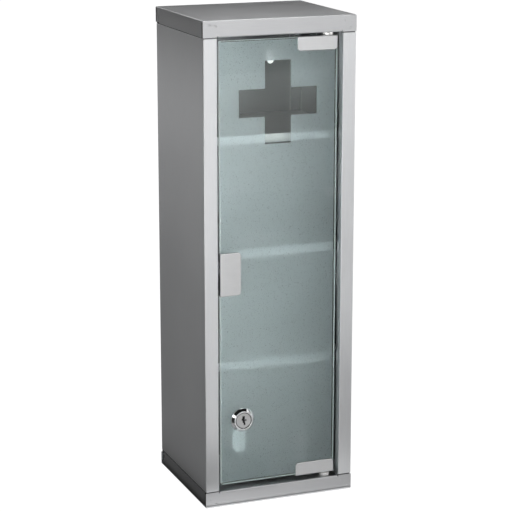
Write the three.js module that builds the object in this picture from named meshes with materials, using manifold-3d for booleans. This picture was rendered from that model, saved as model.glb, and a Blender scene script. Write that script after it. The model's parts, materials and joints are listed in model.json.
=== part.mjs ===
// A tall wall cabinet of folded stainless sheet with an inset glass door, for a clinic or a bathroom.
// The pane turns on two pivot clips, a magnet holds it shut and a cam lock secures it.
// Millimetres, +Z up. The front faces -Y, and the origin is the centre of the underside.
import * as THREE from "three";
import { mergeVertices } from "three/addons/utils/BufferGeometryUtils.js";
import Module from "manifold-3d";

const wasm = await Module();
wasm.setup();

// Cabinet body
const WIDTH = 195;
const DEPTH = 172;
const HEIGHT = 600;
const SHEET = 0.8;
const INSIDE_BEND = 1.4;
const SEAM = 0.2; // gap between two sheets that are spot welded
const SEAM_GROOVE = 1.2; // open joint between a tray's rim and the side panels' shoulders
const STILE_WIDTH = 17.5;
const STILE_LIP = 11;
const REAR_FLANGE = 15;

// Trays that close the top and the bottom
const TRAY_FLANGE = 20;
const LIP_PAST_PIVOT = 10; // from the pivot axis to a return lip's rear edge
const LIP_RELIEF = 1.5; // gap between a return lip and each stile
const CORNER_SLIT = 1.2;
const NOTCH_LENGTH = 12; // rear notch in the side flanges
const NOTCH_FOOT = 2; // from a tray's face to the narrow end of its notch
const NOTCH_SHOULDER = 15; // from a tray's face to where the notch has its full length

// Shelves
const SHELF_COUNT = 3;
const BOTTOM_SPACE = 178; // from the underside to the lowest shelf's top
const SHELF_FLANGE = 11;
const SHELF_CLEARANCE = 1.5; // from the swing of the door's hinge edge to the shelves

// Keyholes for the wall screws
const KEYHOLE_SPACING = 109;
const KEYHOLE_DROP = 74; // from the top of the cabinet to the round part's centre
const KEYHOLE_RADIUS = 4.5;
const KEYHOLE_SLOT_RADIUS = 2.5;
const KEYHOLE_SLOT_RISE = 10;

// Glass door
const GLASS = 6;
const GLASS_CORNER = 2;
const DOOR_RECESS = 8; // from the front of the cabinet to the front of the glass
const HINGE_SIDE_GAP = 3.5;
const PULL_SIDE_GAP = 6.2;
const DOOR_END_GAP = 5.5;
const LINER = 0.4;
const SEAT = 0.1; // gap on each side of a liner or another seated piece

// Hinge clips and pivots
const CLIP_LENGTH = 51.5;
const CLIP_COVER = 16; // how far a clip reaches over the glass
const CLIP_WALL = 2;
const CLIP_WEB = 1;
const CLIP_CORNER = 3.5;
const CLIP_EDGE = 1.2;
const CLIP_INSET = 1; // from the glass's hinge edge to a clip's end
const PIVOT_INSET = 11.5; // from the glass's hinge edge to the pivot axis
const PIN_RADIUS = 2.5;
const PIN_REACH = 5; // how far a pin passes its return lip
const PIN_CHAMFER = 0.5;
const RUNNING_GAP = 0.15;
const BUSH_WALL = 1.4;
const BUSH_FLANGE = 2.25;
const BUSH_REACH = 2; // how far a bush passes its return lip
const CLIP_SCREW_RADIUS = 2;
const CLIP_SCREW_INSET = 12; // from each end of a clip
const CLIP_SCREW_PROUD = 0.5;
const CLIP_SCREW_SOCKET = 1.1;
const SCREW_FIT = 0.2;

// Pull clip and magnetic catch
const PULL_COVER = 25.5;
const PULL_HEIGHT = 53;
const PULL_RISE = 1; // from the middle shelf's top to the pull's top
const STRIKE_GAP = 0.3;
const MAGNET_LENGTH = 18;
const MAGNET_HEIGHT = 5;
const MAGNET_DEPTH = 9;
const POLE_THICKNESS = 1.2;
const POLE_PROUD = 0.5;
const CATCH_WALL = 4;
const CATCH_EAR = 9; // length of the housing beside the magnet, which takes a screw
const CATCH_DEPTH = 18;
const CATCH_SCREW_RADIUS = 1.5;
const CATCH_SCREW_LENGTH = 8;
const CATCH_SCREW_HEAD_RADIUS = 2.8;
const CATCH_SCREW_HEAD = 1.8;

// Cam lock
const LOCK_INSET = 27; // from the glass's pull edge to the lock's axis
const LOCK_RISE = 82; // from the glass's lower edge to the lock's axis
const PLUG_RADIUS = 6.5;
const PLUG_HEAD_RADIUS = 9.8;
const PLUG_HEAD = 3;
const PLUG_RECESS = 0.7;
const PLUG_FIT = 0.25;
const BEZEL_HEIGHT = 5.5;
const BEZEL_RING = 2.1; // width of the ring round the plug's face
const BEZEL_FLARE = 3.4; // how much wider the bezel is at its base
const BEZEL_EDGE = 0.6;
const BARREL_WALL = 2.5;
const BARREL_PAST_NUT = 0.8;
const GASKET = 0.5;
const GASKET_INSET = 0.7;
const GLASS_HOLE_FIT = 0.7;
const THREAD_FIT = 0.2;
const WASHER = 0.8;
const WASHER_RIM = 3.5;
const NUT = 3.6;
const NUT_WALL = 2.5;
const KEYWAY_HEIGHT = 9.6;
const KEYWAY_WIDTH = 1.5;
const KEYWAY_JOG = 0.9;
const KEYWAY_DEPTH = 11;
const TANG_SHOULDER = 1.1; // from the plug's round to the corners of its square tang
const CAM_GAP = 0.5; // from the barrel's end to the cam
const CAM_ENGAGEMENT = 12.7; // how far the turned cam reaches behind the stile
const CAM_WIDTH = 18;
const CAM_THICKNESS = 2;
const CAM_SCREW_RADIUS = 1.9;
const CAM_SCREW_LENGTH = 6;
const CAM_SCREW_HEAD_RADIUS = 5.6; // to the corners of its hexagon
const CAM_SCREW_HEAD = 2.6;

// Facets
const BEND_STEPS = 3;
const CORNER_STEPS = 5;
const EDGE_STEPS = 2;
const ROUND_STEPS = 36;
const SMALL_ROUND_STEPS = 20;
const HEXAGON = 6;

// Planes and lines that several pieces share
const FRONT = -DEPTH / 2;
const BACK = DEPTH / 2;
const OUTSIDE_BEND = INSIDE_BEND + SHEET;
const nestStep = SHEET + SEAM; // from a tray's outside to what nests in it
const nestedHalfWidth = WIDTH / 2 - nestStep;
const bodyBack = BACK - nestStep;
const bodyBottom = OUTSIDE_BEND;
const bodyTop = HEIGHT - OUTSIDE_BEND;
const lowShoulder = TRAY_FLANGE + SEAM_GROOVE;
const highShoulder = HEIGHT - lowShoulder;
const rearFlangeBack = bodyBack - SHEET - SEAM;
const openingHalfWidth = WIDTH / 2 - STILE_WIDTH;

const glassLeft = -openingHalfWidth + PULL_SIDE_GAP;
const glassRight = openingHalfWidth - HINGE_SIDE_GAP;
const glassBottom = TRAY_FLANGE + DOOR_END_GAP;
const glassTop = HEIGHT - TRAY_FLANGE - DOOR_END_GAP;
const glassFront = FRONT + DOOR_RECESS;
const glassBack = glassFront + GLASS;
const glassMiddle = glassFront + GLASS / 2;

const edgeSeat = LINER + 2 * SEAT; // from an edge of the glass to a clip's web
const slotHalf = GLASS / 2 + edgeSeat;
const clipHalf = slotHalf + CLIP_WALL;
const clipRight = glassRight - CLIP_INSET;
const clipLeft = clipRight - CLIP_LENGTH;
const pivotX = glassRight - PIVOT_INSET;
const bushBore = PIN_RADIUS + RUNNING_GAP;
const spigotRadius = bushBore + BUSH_WALL;

const shelfPitch = (HEIGHT - BOTTOM_SPACE) / SHELF_COUNT;
const shelfFront = glassMiddle + Math.hypot(PIVOT_INSET, GLASS / 2) + SHELF_CLEARANCE;
const catchShelf = Math.floor(SHELF_COUNT / 2); // the shelf that carries the catch, counted from 0
const catchShelfTop = BOTTOM_SPACE + catchShelf * shelfPitch;

const pullTop = catchShelfTop + PULL_RISE;
const pullBottom = pullTop - PULL_HEIGHT;
const pullFree = glassLeft + PULL_COVER;
const catchX = glassLeft + PULL_COVER / 2;
const poleFront = glassMiddle + clipHalf + STRIKE_GAP;
const catchFront = poleFront + POLE_PROUD;
const catchBack = catchFront + CATCH_DEPTH;
const pocketHalfHeight = MAGNET_HEIGHT / 2 + POLE_THICKNESS + 2 * SEAT;
const noseTop = catchShelfTop - SHELF_FLANGE - SEAM;
const magnetZ = noseTop - CATCH_WALL - pocketHalfHeight;
const earFront = shelfFront + OUTSIDE_BEND;
const catchScrewY = (earFront + catchBack) / 2;
const catchScrewPlaces = [-1, 1].map((side) => catchX + (side * (MAGNET_LENGTH + CATCH_EAR)) / 2);

const lockX = glassLeft + LOCK_INSET;
const lockZ = glassBottom + LOCK_RISE;
const plugBore = PLUG_RADIUS + PLUG_FIT;
const headBore = PLUG_HEAD_RADIUS + PLUG_FIT;
const bezelFrontRadius = headBore + BEZEL_RING;
const bezelBaseRadius = bezelFrontRadius + BEZEL_FLARE;
const barrelRadius = plugBore + BARREL_WALL;
const threadBore = barrelRadius + THREAD_FIT;
const bezelBase = glassFront - GASKET - 2 * SEAT;
const bezelFront = bezelBase - BEZEL_HEIGHT;
const plugFace = bezelFront + PLUG_RECESS;
const nutFront = glassBack + WASHER + 2 * SEAT;
const barrelEnd = nutFront + NUT + BARREL_PAST_NUT;
const camFront = barrelEnd + CAM_GAP;
const camBack = camFront + CAM_THICKNESS;
const camReach = lockX + openingHalfWidth + CAM_ENGAGEMENT;
const tang = (PLUG_RADIUS - TANG_SHOULDER) * Math.SQRT2;

// Basic solids

function solidFrom(geometry) {
  const bare = geometry.index ? geometry.toNonIndexed() : geometry.clone();
  bare.deleteAttribute("normal");
  bare.deleteAttribute("uv");
  const merged = mergeVertices(bare, 1e-4);
  const corners = merged.index.array;
  const kept = [];
  for (let i = 0; i < corners.length; i += 3) {
    const [a, b, c] = [corners[i], corners[i + 1], corners[i + 2]];
    if (a !== b && b !== c && c !== a) kept.push(a, b, c);
  }
  return new wasm.Manifold(
    new wasm.Mesh({
      numProp: 3,
      vertProperties: new Float32Array(merged.attributes.position.array),
      triVerts: new Uint32Array(kept),
    }),
  );
}

function geometryFrom(solid) {
  const mesh = solid.getMesh();
  const geometry = new THREE.BufferGeometry();
  geometry.setAttribute("position", new THREE.BufferAttribute(mesh.vertProperties, 3));
  geometry.setIndex(new THREE.BufferAttribute(mesh.triVerts, 1));
  geometry.computeVertexNormals();
  return geometry;
}

function unite(solids) {
  return solids.reduce((whole, next) => whole.add(next));
}

function cut(solid, cutters) {
  return cutters.reduce((left, cutter) => left.subtract(cutter), solid);
}

// A box between any two opposite corners.
function boxBetween(one, other) {
  const size = one.map((value, axis) => Math.abs(other[axis] - value));
  const middle = one.map((value, axis) => (other[axis] + value) / 2);
  return solidFrom(new THREE.BoxGeometry(...size).translate(...middle));
}

function extruded(shape, length, bevel = 0) {
  const geometry = new THREE.ExtrudeGeometry(shape, {
    depth: length - 2 * bevel,
    curveSegments: CORNER_STEPS,
    bevelEnabled: bevel > 0,
    bevelSize: bevel,
    bevelThickness: bevel,
    bevelOffset: -bevel,
    bevelSegments: EDGE_STEPS,
  });
  return geometry.translate(0, 0, bevel);
}

const unitX = new THREE.Vector3(1, 0, 0);
const unitY = new THREE.Vector3(0, 1, 0);
const unitZ = new THREE.Vector3(0, 0, 1);

// An outline drawn in y and z, carried along X.
function extrudeX(shape, low, high) {
  const axes = new THREE.Matrix4().makeBasis(unitY, unitZ, unitX).setPosition(low, 0, 0);
  return solidFrom(extruded(shape, high - low).applyMatrix4(axes));
}

// An outline drawn in x and z, carried along Y.
function extrudeY(shape, low, high, bevel = 0) {
  const axes = new THREE.Matrix4().makeBasis(unitX, unitZ, unitY.clone().negate());
  axes.setPosition(0, high, 0);
  return solidFrom(extruded(shape, high - low, bevel).applyMatrix4(axes));
}

// An outline drawn in x and y, carried along Z.
function extrudeZ(shape, low, high) {
  return solidFrom(extruded(shape, high - low).translate(0, 0, low));
}

// Turned solids take radius and place pairs that run up the outside and, on a ring, down the inside.
function turned(profile, steps) {
  const points = profile.map(([radius, place]) => new THREE.Vector2(radius, place));
  return new THREE.LatheGeometry(points, steps);
}

function turnedZ(profile, x, y, steps) {
  return solidFrom(turned(profile, steps).rotateX(Math.PI / 2).translate(x, y, 0));
}

function turnedY(profile, x, z, steps) {
  return solidFrom(turned(profile, steps).translate(x, 0, z));
}

function rod(radius, low, high) {
  return [
    [0, low],
    [radius, low],
    [radius, high],
    [0, high],
  ];
}

function ring(outer, inner, low, high) {
  return [
    [inner, low],
    [outer, low],
    [outer, high],
    [inner, high],
    [inner, low],
  ];
}

// Folded sheet

// The outline of a sheet whose middle line passes the corners given, with a round bend at each square turn.
function foldedOutline(corners) {
  const path = corners.map(([across, along]) => new THREE.Vector2(across, along));
  const last = path.length - 1;
  const radius = INSIDE_BEND + SHEET / 2;
  const left = [];
  const right = [];
  const heading = (i) => path[i + 1].clone().sub(path[i]).normalize();
  const leftOf = (direction) => new THREE.Vector2(-direction.y, direction.x);
  const addPair = (middle, normal) => {
    left.push(middle.clone().addScaledVector(normal, SHEET / 2));
    right.push(middle.clone().addScaledVector(normal, -SHEET / 2));
  };
  addPair(path[0], leftOf(heading(0)));
  for (let i = 1; i < last; i++) {
    const arriving = heading(i - 1);
    const turn = Math.sign(arriving.cross(heading(i)));
    const inward = leftOf(arriving).multiplyScalar(turn);
    const centre = path[i].clone().addScaledVector(arriving, -radius).addScaledVector(inward, radius);
    for (let step = 0; step <= BEND_STEPS; step++) {
      const angle = (turn * Math.PI * step) / (2 * BEND_STEPS);
      const outward = inward.clone().negate().rotateAround(new THREE.Vector2(), angle);
      addPair(centre.clone().addScaledVector(outward, radius), outward.clone().multiplyScalar(-turn));
    }
  }
  addPair(path[last], leftOf(heading(last - 1)));
  return new THREE.Shape([...left, ...right.reverse()]);
}

// A shallow pan: a plate with a flange on each side and open slits at its corners.
// face is the height of the plate's outer side. towards is -1 for hanging flanges and 1 for standing ones.
function foldedPan({ halfWidth, front, back, face, towards, flange }) {
  const half = SHEET / 2;
  const plate = face + towards * half;
  const rim = face + towards * flange;
  const bendEnd = face + towards * OUTSIDE_BEND;
  const slit = SHEET + CORNER_SLIT;
  const frontToBack = foldedOutline([
    [front + half, rim],
    [front + half, plate],
    [back - half, plate],
    [back - half, rim],
  ]);
  const sideToSide = foldedOutline([
    [-halfWidth + half, rim],
    [-halfWidth + half, plate],
    [halfWidth - half, plate],
    [halfWidth - half, rim],
  ]);
  const bendlessHalf = halfWidth - OUTSIDE_BEND;
  const bands = [
    boxBetween([-halfWidth, front, rim], [halfWidth, front + SHEET, bendEnd]),
    boxBetween([-halfWidth, back - SHEET, rim], [halfWidth, back, bendEnd]),
    boxBetween([-halfWidth, front + slit, rim], [-halfWidth + SHEET, back - slit, bendEnd]),
    boxBetween([halfWidth - SHEET, front + slit, rim], [halfWidth, back - slit, bendEnd]),
  ];
  return unite([
    extrudeX(frontToBack, -bendlessHalf, bendlessHalf),
    extrudeY(sideToSide, front + OUTSIDE_BEND, back - OUTSIDE_BEND),
    ...bands,
  ]);
}

// The rear notch of a side flange, from its narrow foot to its full length at the rim.
function flangeNotch(face, towards) {
  const rear = BACK - SHEET;
  const height = (rise) => face + towards * rise;
  const shape = new THREE.Shape();
  shape.moveTo(rear, height(NOTCH_FOOT));
  shape.lineTo(rear - NOTCH_LENGTH, height(NOTCH_SHOULDER));
  shape.lineTo(rear - NOTCH_LENGTH, height(TRAY_FLANGE + SHEET));
  shape.lineTo(rear, height(TRAY_FLANGE + SHEET));
  shape.closePath();
  return shape;
}

// A lid tray: a pan with a return lip across the door opening and a rear notch in each side flange.
function lidTray(face, towards) {
  const pan = foldedPan({
    halfWidth: WIDTH / 2,
    front: FRONT,
    back: BACK,
    face,
    towards,
    flange: TRAY_FLANGE,
  });
  const half = SHEET / 2;
  const rim = face + towards * TRAY_FLANGE;
  const bendStart = rim - towards * OUTSIDE_BEND;
  const lipHalf = openingHalfWidth - LIP_RELIEF;
  const lip = foldedOutline([
    [FRONT + half, rim - towards * 2 * OUTSIDE_BEND],
    [FRONT + half, rim - towards * half],
    [glassMiddle + LIP_PAST_PIVOT, rim - towards * half],
  ]);
  const squareEdge = boxBetween(
    [-openingHalfWidth, FRONT - SHEET, bendStart],
    [openingHalfWidth, FRONT + 2 * SHEET, rim + towards * SHEET],
  );
  const pivotHole = turnedZ(
    rod(spigotRadius + SEAT, rim - OUTSIDE_BEND, rim + OUTSIDE_BEND),
    pivotX,
    glassMiddle,
    ROUND_STEPS,
  );
  const notches = [-1, 1].map((side) => {
    const flangeX = side * (WIDTH / 2 - half);
    return extrudeX(flangeNotch(face, towards), flangeX - SHEET, flangeX + SHEET);
  });
  const folded = pan.subtract(squareEdge).add(extrudeX(lip, -lipHalf, lipHalf));
  return cut(folded, [pivotHole, ...notches]);
}

// The outline of a side panel. step is how far its wall and stile lie inside the cabinet's faces,
// and ease is how far its lip and its rear flange are drawn in.
function panelOutline(side, step, ease) {
  const half = SHEET / 2;
  const lipX = side * (openingHalfWidth + ease + half);
  const wallX = side * (WIDTH / 2 - step - half);
  const stileY = FRONT + step + half;
  const flangeY = rearFlangeBack - ease - half;
  return foldedOutline([
    [lipX, FRONT + STILE_LIP - ease],
    [lipX, stileY],
    [wallX, stileY],
    [wallX, flangeY],
    [side * (nestedHalfWidth - REAR_FLANGE + ease), flangeY],
  ]);
}

// The shoulders that join a panel's flush wall and stile to one of its stepped ends.
function panelShoulders(side, low, high) {
  const half = SHEET / 2;
  const corner = OUTSIDE_BEND + nestStep;
  return [
    boxBetween(
      [side * (WIDTH / 2 - half), FRONT + corner, low],
      [side * (nestedHalfWidth - half), rearFlangeBack - OUTSIDE_BEND, high],
    ),
    boxBetween(
      [side * (openingHalfWidth + OUTSIDE_BEND), FRONT + half, low],
      [side * (WIDTH / 2 - corner), FRONT + nestStep + half, high],
    ),
  ];
}

// A side panel with its front stile, return lip and rear flange. side is -1 on the left and 1 on the right.
// Its wall and stile are flush with the trays, and its ends step in to nest inside them.
// Its lower rear corner is cut away behind the tray's notch.
function sidePanel(side) {
  const nested = panelOutline(side, nestStep, SEAM);
  const cornerCut = boxBetween(
    [side * (nestedHalfWidth - NOTCH_LENGTH), BACK - SHEET - NOTCH_LENGTH, 0],
    [side * WIDTH, BACK, TRAY_FLANGE - SEAM],
  );
  return unite([
    extrudeZ(panelOutline(side, 0, 0), lowShoulder, highShoulder),
    extrudeZ(nested, bodyBottom, lowShoulder + SHEET),
    extrudeZ(nested, highShoulder - SHEET, bodyTop),
    ...panelShoulders(side, lowShoulder + SEAM, lowShoulder + SEAM + SHEET),
    ...panelShoulders(side, highShoulder - SEAM - SHEET, highShoulder - SEAM),
  ]).subtract(cornerCut);
}

function keyhole(x) {
  const centre = HEIGHT - KEYHOLE_DROP;
  const neck = Math.asin(KEYHOLE_SLOT_RADIUS / KEYHOLE_RADIUS);
  const shape = new THREE.Shape();
  shape.absarc(x, centre, KEYHOLE_RADIUS, Math.PI / 2 + neck, Math.PI * 2.5 - neck, false);
  shape.absarc(x, centre + KEYHOLE_SLOT_RISE, KEYHOLE_SLOT_RADIUS, 0, Math.PI, false);
  shape.closePath();
  return extrudeY(shape, bodyBack - 2 * SHEET, bodyBack + SHEET);
}

function backPanel() {
  const sheet = boxBetween(
    [-nestedHalfWidth, bodyBack - SHEET, bodyBottom],
    [nestedHalfWidth, bodyBack, bodyTop],
  );
  return cut(sheet, [keyhole(-KEYHOLE_SPACING / 2), keyhole(KEYHOLE_SPACING / 2)]);
}

function shelf(index) {
  const top = BOTTOM_SPACE + index * shelfPitch;
  const pan = foldedPan({
    halfWidth: nestedHalfWidth,
    front: shelfFront,
    back: rearFlangeBack - OUTSIDE_BEND,
    face: top,
    towards: -1,
    flange: SHELF_FLANGE,
  });
  if (index !== catchShelf) return pan;
  const hole = rod(CATCH_SCREW_RADIUS + SCREW_FIT, top - 2 * SHEET, top + SHEET);
  return cut(
    pan,
    catchScrewPlaces.map((x) => turnedZ(hole, x, catchScrewY, SMALL_ROUND_STEPS)),
  );
}

// Pivots. end is 1 at the top of the door and -1 at the bottom, and places run away from the glass.

function doorEdge(end) {
  return end > 0 ? glassTop : glassBottom;
}

function lipFace(end) {
  return end > 0 ? HEIGHT - TRAY_FLANGE : TRAY_FLANGE;
}

function clipFold(end) {
  return doorEdge(end) + end * (edgeSeat + CLIP_WEB);
}

// A profile that runs down is turned round, so that it runs up as a turned solid needs.
function turnedPivot(profile, end, steps) {
  return turnedZ(end > 0 ? profile : profile.reverse(), pivotX, glassMiddle, steps);
}

function pivotBush(end) {
  const low = clipFold(end) + end * RUNNING_GAP;
  const seat = lipFace(end) - end * SEAT;
  const tip = lipFace(end) + end * (SHEET + BUSH_REACH);
  const profile = [
    [bushBore, low],
    [spigotRadius + BUSH_FLANGE, low],
    [spigotRadius + BUSH_FLANGE, seat],
    [spigotRadius, seat],
    [spigotRadius, tip],
    [bushBore, tip],
    [bushBore, low],
  ];
  return turnedPivot(profile, end, ROUND_STEPS);
}

function pivotPin(end) {
  const root = doorEdge(end) + end * edgeSeat;
  const tip = lipFace(end) + end * (SHEET + PIN_REACH);
  const profile = [
    [0, root],
    [PIN_RADIUS, root],
    [PIN_RADIUS, tip - end * PIN_CHAMFER],
    [PIN_RADIUS - PIN_CHAMFER, tip],
    [0, tip],
  ];
  return turnedPivot(profile, end, SMALL_ROUND_STEPS);
}

// Door

function doorGlass() {
  const [left, right] = [glassLeft + GLASS_CORNER, glassRight - GLASS_CORNER];
  const [low, high] = [glassBottom + GLASS_CORNER, glassTop - GLASS_CORNER];
  const shape = new THREE.Shape();
  shape.absarc(right, high, GLASS_CORNER, 0, Math.PI / 2, false);
  shape.absarc(left, high, GLASS_CORNER, Math.PI / 2, Math.PI, false);
  shape.absarc(left, low, GLASS_CORNER, Math.PI, 1.5 * Math.PI, false);
  shape.absarc(right, low, GLASS_CORNER, 1.5 * Math.PI, 2 * Math.PI, false);
  shape.closePath();
  const pane = extrudeY(shape, glassFront, glassBack);
  const hole = rod(barrelRadius + GLASS_HOLE_FIT, glassFront - GLASS, glassBack + GLASS);
  return pane.subtract(turnedY(hole, lockX, lockZ, ROUND_STEPS));
}

function hingeClip(end) {
  const fold = clipFold(end);
  const free = doorEdge(end) - end * CLIP_COVER;
  const web = doorEdge(end) + end * edgeSeat;
  const shape = new THREE.Shape();
  shape.moveTo(clipLeft, fold);
  shape.lineTo(clipLeft, free + end * CLIP_CORNER);
  shape.quadraticCurveTo(clipLeft, free, clipLeft + CLIP_CORNER, free);
  shape.lineTo(clipRight - CLIP_CORNER, free);
  shape.quadraticCurveTo(clipRight, free, clipRight, free + end * CLIP_CORNER);
  shape.lineTo(clipRight, fold);
  shape.closePath();
  const block = extrudeY(shape, glassMiddle - clipHalf, glassMiddle + clipHalf, CLIP_EDGE);
  const slot = boxBetween(
    [clipLeft - CLIP_WALL, glassMiddle - slotHalf, web],
    [clipRight + CLIP_WALL, glassMiddle + slotHalf, free - end * CLIP_WALL],
  );
  const pinHole = rod(PIN_RADIUS + SEAT, Math.min(web, fold) - CLIP_WEB, Math.max(web, fold) + CLIP_WEB);
  const screwHole = rod(CLIP_SCREW_RADIUS + SCREW_FIT, glassBack, glassMiddle + 2 * clipHalf);
  return cut(block, [
    slot,
    turnedZ(pinHole, pivotX, glassMiddle, SMALL_ROUND_STEPS),
    ...clipScrewPlaces(end).map(([x, z]) => turnedY(screwHole, x, z, SMALL_ROUND_STEPS)),
  ]);
}

function clipScrewPlaces(end) {
  const z = doorEdge(end) - (end * CLIP_COVER) / 2;
  return [clipLeft + CLIP_SCREW_INSET, clipRight - CLIP_SCREW_INSET].map((x) => [x, z]);
}

function hingeScrew([x, z]) {
  const low = glassMiddle + slotHalf;
  const high = glassMiddle + clipHalf + CLIP_SCREW_PROUD;
  const body = turnedY(rod(CLIP_SCREW_RADIUS, low, high), x, z, SMALL_ROUND_STEPS);
  const socket = rod(CLIP_SCREW_SOCKET, (low + high) / 2, high + CLIP_WALL);
  return body.subtract(turnedY(socket, x, z, HEXAGON));
}

// The plastic strip between a hinge clip and the glass, folded over the edge of the pane.
function hingeLiner(end) {
  const edge = doorEdge(end);
  const free = edge - end * (CLIP_COVER - CLIP_CORNER);
  const outer = boxBetween(
    [clipLeft + CLIP_EDGE, glassMiddle - slotHalf + SEAT, edge + end * (edgeSeat - SEAT)],
    [clipRight - CLIP_EDGE, glassMiddle + slotHalf - SEAT, free],
  );
  const inner = boxBetween(
    [clipLeft, glassFront - SEAT, edge + end * SEAT],
    [clipRight, glassBack + SEAT, free - end * CLIP_CORNER],
  );
  return outer.subtract(inner);
}

function pullClip() {
  const fold = glassLeft - edgeSeat - CLIP_WEB;
  const shape = new THREE.Shape();
  shape.moveTo(fold, pullBottom);
  shape.lineTo(pullFree - CLIP_CORNER, pullBottom);
  shape.quadraticCurveTo(pullFree, pullBottom, pullFree, pullBottom + CLIP_CORNER);
  shape.lineTo(pullFree, pullTop - CLIP_CORNER);
  shape.quadraticCurveTo(pullFree, pullTop, pullFree - CLIP_CORNER, pullTop);
  shape.lineTo(fold, pullTop);
  shape.closePath();
  const block = extrudeY(shape, glassMiddle - clipHalf, glassMiddle + clipHalf, CLIP_EDGE);
  const slot = boxBetween(
    [glassLeft - edgeSeat, glassMiddle - slotHalf, pullBottom - CLIP_WALL],
    [pullFree + CLIP_WALL, glassMiddle + slotHalf, pullTop + CLIP_WALL],
  );
  return block.subtract(slot);
}

function pullLiner() {
  const outer = boxBetween(
    [glassLeft - edgeSeat + SEAT, glassMiddle - slotHalf + SEAT, pullBottom + CLIP_EDGE],
    [pullFree - CLIP_CORNER, glassMiddle + slotHalf - SEAT, pullTop - CLIP_EDGE],
  );
  const inner = boxBetween(
    [glassLeft - SEAT, glassFront - SEAT, pullBottom],
    [pullFree, glassBack + SEAT, pullTop],
  );
  return outer.subtract(inner);
}

// Magnetic catch under the shelf behind the pull

function catchHousing() {
  const halfLength = MAGNET_LENGTH / 2 + CATCH_EAR;
  const noseBottom = magnetZ - pocketHalfHeight - CATCH_WALL;
  const ceiling = catchShelfTop - SHEET - SEAT;
  const nose = boxBetween(
    [catchX - halfLength, catchFront, noseBottom],
    [catchX + halfLength, catchBack, noseTop],
  );
  const foot = boxBetween(
    [catchX - halfLength, earFront, noseBottom],
    [catchX + halfLength, catchBack, ceiling],
  );
  const pocket = boxBetween(
    [catchX - MAGNET_LENGTH / 2 - SEAT, catchFront - CATCH_WALL, magnetZ - pocketHalfHeight],
    [catchX + MAGNET_LENGTH / 2 + SEAT, catchFront + MAGNET_DEPTH + SEAT, magnetZ + pocketHalfHeight],
  );
  const hole = rod(CATCH_SCREW_RADIUS + SCREW_FIT, ceiling - CATCH_SCREW_LENGTH, ceiling + SHEET);
  const screwHoles = catchScrewPlaces.map((x) => turnedZ(hole, x, catchScrewY, SMALL_ROUND_STEPS));
  return cut(nose.add(foot), [pocket, ...screwHoles]);
}

function catchMagnet() {
  return boxBetween(
    [catchX - MAGNET_LENGTH / 2, catchFront + SEAT, magnetZ - MAGNET_HEIGHT / 2],
    [catchX + MAGNET_LENGTH / 2, catchFront + MAGNET_DEPTH, magnetZ + MAGNET_HEIGHT / 2],
  );
}

// The pole plates lie above and below the magnet. side is 1 above it and -1 below.
function catchPole(side) {
  const near = magnetZ + side * (MAGNET_HEIGHT / 2 + SEAT);
  return boxBetween(
    [catchX - MAGNET_LENGTH / 2, poleFront, near],
    [catchX + MAGNET_LENGTH / 2, catchFront + MAGNET_DEPTH, near + side * POLE_THICKNESS],
  );
}

function catchScrew(x) {
  const seat = catchShelfTop + SEAT;
  const profile = [
    [0, seat - CATCH_SCREW_LENGTH],
    [CATCH_SCREW_RADIUS, seat - CATCH_SCREW_LENGTH],
    [CATCH_SCREW_RADIUS, seat],
    [CATCH_SCREW_HEAD_RADIUS, seat],
    [CATCH_SCREW_HEAD_RADIUS, seat + CATCH_SCREW_HEAD / 2],
    [CATCH_SCREW_HEAD_RADIUS / 2, seat + CATCH_SCREW_HEAD],
    [0, seat + CATCH_SCREW_HEAD],
  ];
  return turnedZ(profile, x, catchScrewY, SMALL_ROUND_STEPS);
}

// Cam lock, along an axis that runs to the back

function lockRing(outer, inner, low, high) {
  return turnedY(ring(outer, inner, low, high), lockX, lockZ, ROUND_STEPS);
}

function lockHousing() {
  const shoulder = plugFace + PLUG_HEAD + PLUG_FIT;
  const profile = [
    [headBore, bezelFront],
    [bezelFrontRadius - BEZEL_EDGE, bezelFront],
    [bezelFrontRadius, bezelFront + BEZEL_EDGE],
    [bezelBaseRadius, bezelBase - BEZEL_EDGE],
    [bezelBaseRadius, bezelBase],
    [barrelRadius, bezelBase],
    [barrelRadius, barrelEnd],
    [plugBore, barrelEnd],
    [plugBore, shoulder],
    [headBore, shoulder],
    [headBore, bezelFront],
  ];
  return turnedY(profile, lockX, lockZ, ROUND_STEPS);
}

function lockGasket() {
  return lockRing(bezelBaseRadius - GASKET_INSET, threadBore, bezelBase + SEAT, bezelBase + SEAT + GASKET);
}

function lockWasher() {
  return lockRing(threadBore + WASHER_RIM, threadBore, glassBack + SEAT, glassBack + SEAT + WASHER);
}

function hexagonAbout(x, z, cornerRadius) {
  const shape = new THREE.Shape();
  for (let corner = 0; corner < HEXAGON; corner++) {
    const angle = (corner * 2 * Math.PI) / HEXAGON;
    const place = [x + cornerRadius * Math.cos(angle), z + cornerRadius * Math.sin(angle)];
    if (corner) shape.lineTo(...place);
    else shape.moveTo(...place);
  }
  shape.closePath();
  return shape;
}

function lockNut() {
  const cornerRadius = (threadBore + NUT_WALL) / Math.cos(Math.PI / HEXAGON);
  const block = extrudeY(hexagonAbout(lockX, lockZ, cornerRadius), nutFront, nutFront + NUT);
  const bore = rod(threadBore, nutFront - NUT, nutFront + 2 * NUT);
  return block.subtract(turnedY(bore, lockX, lockZ, ROUND_STEPS));
}

// A vertical keyway whose middle third is set to one side.
function keyway() {
  const third = KEYWAY_HEIGHT / 3;
  const cuts = [-1, 0, 1].map((row) => {
    const x = lockX + (row ? -KEYWAY_JOG : KEYWAY_JOG) / 2;
    const z = lockZ + row * third;
    return boxBetween(
      [x - KEYWAY_WIDTH / 2, plugFace - PLUG_HEAD, z - third / 2],
      [x + KEYWAY_WIDTH / 2, plugFace + KEYWAY_DEPTH, z + third / 2],
    );
  });
  return unite(cuts);
}

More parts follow.
